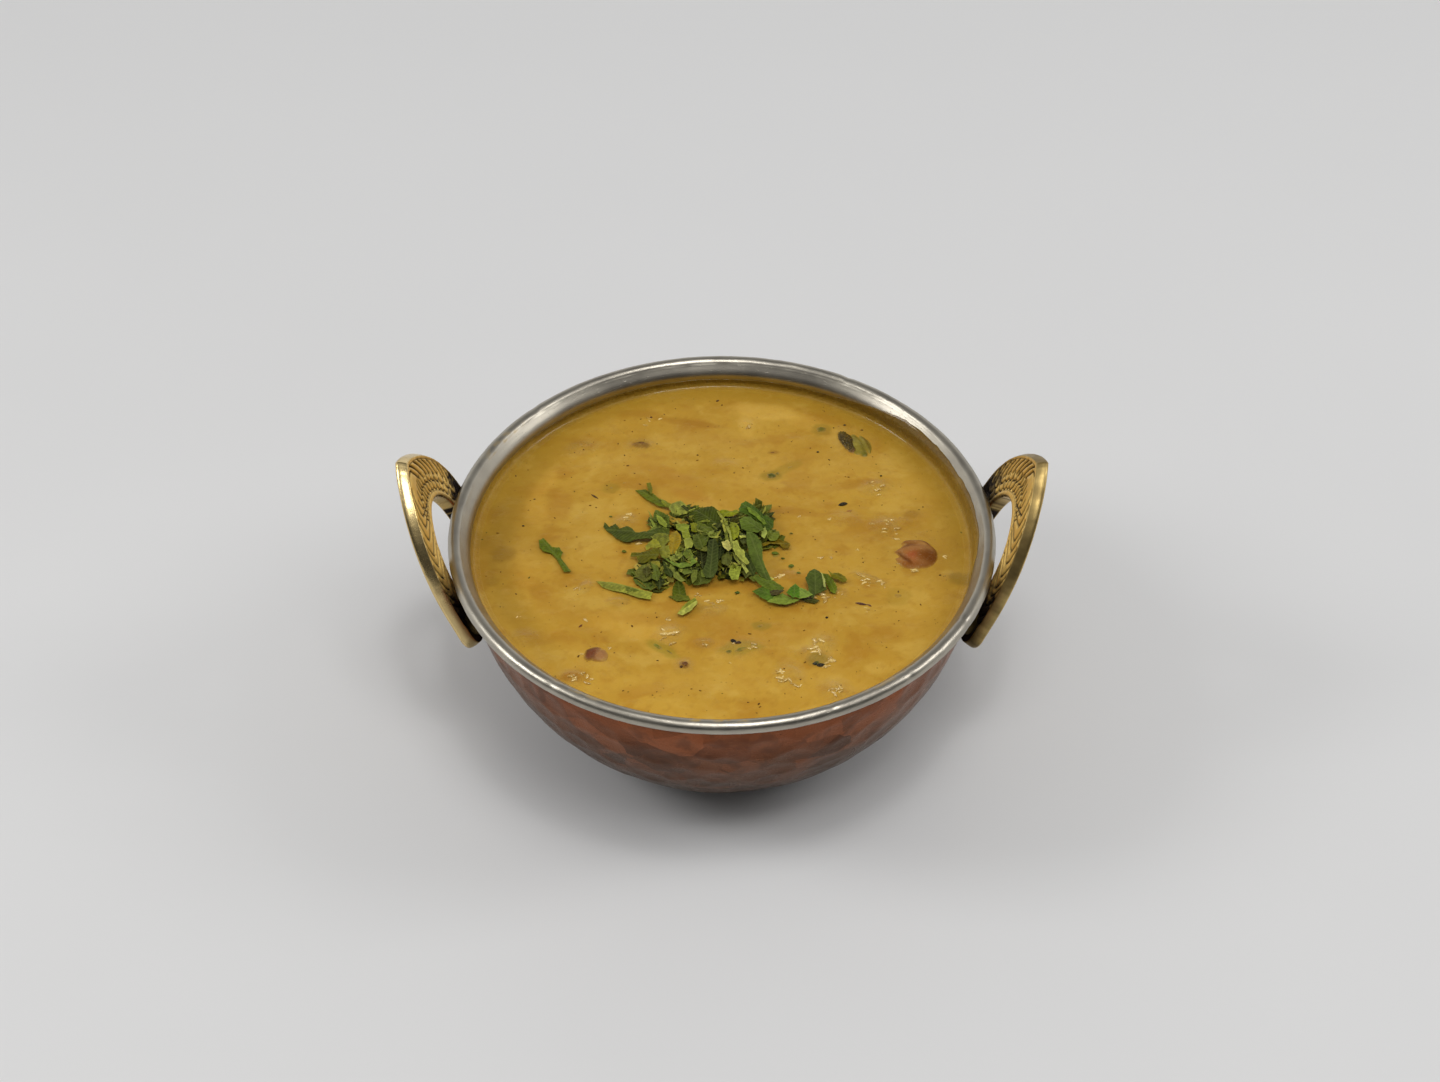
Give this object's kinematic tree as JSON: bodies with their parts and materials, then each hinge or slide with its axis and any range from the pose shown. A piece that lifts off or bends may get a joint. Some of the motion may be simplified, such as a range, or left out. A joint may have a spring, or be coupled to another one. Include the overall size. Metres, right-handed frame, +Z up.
{
  "type": "bowl of vegetable korma",
  "caption": "Round two-handled serving bowl with a hammered copper shell and a steel rim, filled with creamy vegetable korma and topped with chopped coriander.",
  "frame": {"origin": "centre of the flat base, on the surface the bowl stands on", "axes": "+X towards the right-hand handle, -Y is the front, +Z up out of the bowl"},
  "size_m": [0.169, 0.145, 0.0865],
  "materials": {
    "copper": "hammered copper, satin, browned with use",
    "steel": "satin stainless steel",
    "brass": "cast, engraved on the face and polished on the edge, dark in the cuts",
    "korma_sauce": "smooth creamy sauce, slightly oily",
    "coriander_leaf": "fresh chopped leaf and stem",
    "tomato": "cooked tomato, wet",
    "bean": "cooked bean skin, wet",
    "green_pepper": "cooked green pepper, wet"
  },
  "bodies": {
    "root": {"copper_shell": "copper", "steel_liner": "steel", "handle_left": "brass", "handle_right": "brass", "korma": "korma_sauce", "coriander_heap": "coriander_leaf", "tomato_piece": "tomato", "bean_piece": "bean", "green_pepper_piece": "green_pepper"}
  },
  "joints": []
}
